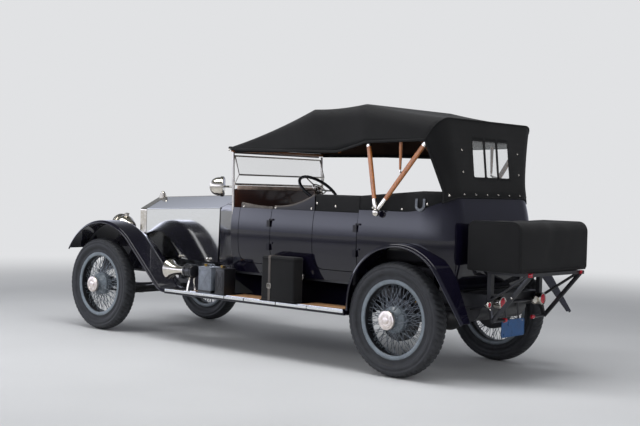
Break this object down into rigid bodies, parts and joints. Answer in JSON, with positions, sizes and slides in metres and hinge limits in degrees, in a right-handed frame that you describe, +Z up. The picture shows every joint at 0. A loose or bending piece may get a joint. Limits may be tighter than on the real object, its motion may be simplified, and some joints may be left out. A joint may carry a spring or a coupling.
{
  "type": "open touring car",
  "caption": "Edwardian open touring car with folding hood raised, wire wheels, gabled radiator, running boards and a trunk on a rear rack.",
  "frame": {"origin": "on the ground at the middle of the car's length and width", "axes": "+X forward, +Y to the car's left, +Z up"},
  "size_m": [5.1499, 1.722, 2.1323],
  "materials": {
    "body_paint": "glossy midnight blue",
    "bright_aluminium": "polished",
    "nickel": "polished nickel",
    "hood_cloth": "matte black duck",
    "wood": "varnished",
    "leather": "soft black",
    "glass": "clear",
    "tyre": "matte dark grey",
    "wheel_paint": "blue-grey",
    "black_paint": "black",
    "cast_iron": "plain",
    "board": "tan mat",
    "can_paint": "grey",
    "red_lamp": "red glass"
  },
  "bodies": {
    "body": {"bonnet_hinge": "bright_aluminium", "cans": "can_paint", "chassis_frame": "black_paint", "dashboard": "wood", "engine": "cast_iron", "exhaust": "black_paint", "floor": "wood", "front_axle": "black_paint", "front_seat": "leather", "front_wings": "body_paint", "fuel_tank": "black_paint", "headlamps": "black_paint", "hood_band": "hood_cloth", "hood_cover": "hood_cloth", "hood_frame": "wood", "hood_lights": "glass", "horn": "black_paint", "luggage_rack": "black_paint", "radiator_core": "black_paint", "radiator_shell": "nickel", "rear_axle": "black_paint", "rear_seat": "leather", "rear_trunk": "hood_cloth", "rear_wings": "body_paint", "running_boards": "board", "scuttle": "body_paint", "side_panels": "body_paint", "spot_lamp": "nickel", "springs": "black_paint", "steering_column": "black_paint", "tail_lamps": "red_lamp", "tonneau": "body_paint", "tool_trunk": "black_paint", "windscreen_frame": "nickel", "windscreen_glass": "glass"},
    "door_front_left": {"door_front_left": "body_paint"},
    "wheel_front_left": {"wheel_front_left": "wheel_paint", "tyre_front_left": "tyre"},
    "door_front_right": {"door_front_right": "body_paint"},
    "wheel_front_right": {"wheel_front_right": "wheel_paint", "tyre_front_right": "tyre"},
    "door_rear_left": {"door_rear_left": "body_paint", "door_band_left": "hood_cloth"},
    "wheel_rear_left": {"wheel_rear_left": "wheel_paint", "tyre_rear_left": "tyre"},
    "door_rear_right": {"door_rear_right": "body_paint", "door_band_right": "hood_cloth"},
    "wheel_rear_right": {"wheel_rear_right": "wheel_paint", "tyre_rear_right": "tyre"},
    "bonnet_top_left": {"bonnet_top_left": "bright_aluminium"},
    "bonnet_side_left": {"bonnet_side_left": "bright_aluminium"},
    "knuckle_left": {"knuckle_left": "black_paint"},
    "bonnet_top_right": {"bonnet_top_right": "bright_aluminium"},
    "bonnet_side_right": {"bonnet_side_right": "bright_aluminium"},
    "knuckle_right": {"knuckle_right": "black_paint"},
    "track_rod": {"track_rod": "black_paint"},
    "steering_wheel": {"steering_wheel": "black_paint"}
  },
  "joints": [
    {"name": "steer_left", "type": "hinge", "parent": "body", "child": "knuckle_left", "pos_m": [2.07, 0.62, 0.4475], "axis": [0, 0, 1], "range_deg": [-30, 30]},
    {"name": "wheel_front_left_spin", "type": "hinge", "parent": "knuckle_left", "child": "wheel_front_left", "pos_m": [2.07, 0.711, 0.4475], "axis": [0, 1, 0], "continuous": true},
    {"name": "wheel_rear_left_spin", "type": "hinge", "parent": "body", "child": "wheel_rear_left", "pos_m": [-1.575, 0.711, 0.4475], "axis": [0, 1, 0], "continuous": true},
    {"name": "door_front_left_hinge", "type": "hinge", "parent": "body", "child": "door_front_left", "pos_m": [-0.167, 0.69396, 1.03], "axis": [0, 0, 1], "range_deg": [0, 75]},
    {"name": "door_rear_left_hinge", "type": "hinge", "parent": "body", "child": "door_rear_left", "pos_m": [-1.132, 0.6975, 1.03], "axis": [0, 0, 1], "range_deg": [0, 75]},
    {"name": "bonnet_top_left_hinge", "type": "hinge", "parent": "body", "child": "bonnet_top_left", "pos_m": [1.985, 0, 1.308], "axis": [0.9992, 0, -0.0396], "range_deg": [0, 60]},
    {"name": "bonnet_side_left_hinge", "type": "hinge", "parent": "bonnet_top_left", "child": "bonnet_side_left", "pos_m": [1.979, 0.24541, 1.18923], "axis": [0.9969, -0.0688, -0.0387], "range_deg": [-60, 0]},
    {"name": "steer_right", "type": "hinge", "parent": "body", "child": "knuckle_right", "pos_m": [2.07, -0.62, 0.4475], "axis": [0, 0, 1], "range_deg": [-30, 30]},
    {"name": "wheel_front_right_spin", "type": "hinge", "parent": "knuckle_right", "child": "wheel_front_right", "pos_m": [2.07, -0.711, 0.4475], "axis": [0, 1, 0], "continuous": true},
    {"name": "wheel_rear_right_spin", "type": "hinge", "parent": "body", "child": "wheel_rear_right", "pos_m": [-1.575, -0.711, 0.4475], "axis": [0, 1, 0], "continuous": true},
    {"name": "door_front_right_hinge", "type": "hinge", "parent": "body", "child": "door_front_right", "pos_m": [-0.167, -0.69396, 1.03], "axis": [0, 0, -1], "range_deg": [0, 75]},
    {"name": "door_rear_right_hinge", "type": "hinge", "parent": "body", "child": "door_rear_right", "pos_m": [-1.132, -0.6975, 1.03], "axis": [0, 0, -1], "range_deg": [0, 75]},
    {"name": "bonnet_top_right_hinge", "type": "hinge", "parent": "body", "child": "bonnet_top_right", "pos_m": [1.985, 0, 1.308], "axis": [-0.9992, 0, 0.0396], "range_deg": [0, 60]},
    {"name": "bonnet_side_right_hinge", "type": "hinge", "parent": "bonnet_top_right", "child": "bonnet_side_right", "pos_m": [1.979, -0.24541, 1.18923], "axis": [-0.9969, -0.0688, 0.0387], "range_deg": [-60, 0]},
    {"name": "track_rod_swing", "type": "hinge", "parent": "knuckle_left", "child": "track_rod", "pos_m": [1.91, 0.62, 0.3667], "axis": [0, 0, 1], "range_deg": [-30, 30]},
    {"name": "steering_turn", "type": "hinge", "parent": "body", "child": "steering_wheel", "pos_m": [0.14, -0.27, 1.425], "axis": [-0.6157, 0, 0.788], "range_deg": [-300, 300]}
  ],
  "couplings": [
    {"joint": "steer_right", "follows": "steer_left", "ratio": 1},
    {"joint": "track_rod_swing", "follows": "steer_left", "ratio": -1},
    {"joint": "steering_turn", "follows": "steer_left", "ratio": 10},
    {"joint": "bonnet_side_left_hinge", "follows": "bonnet_top_left_hinge", "ratio": -1},
    {"joint": "bonnet_side_right_hinge", "follows": "bonnet_top_right_hinge", "ratio": -1}
  ]
}
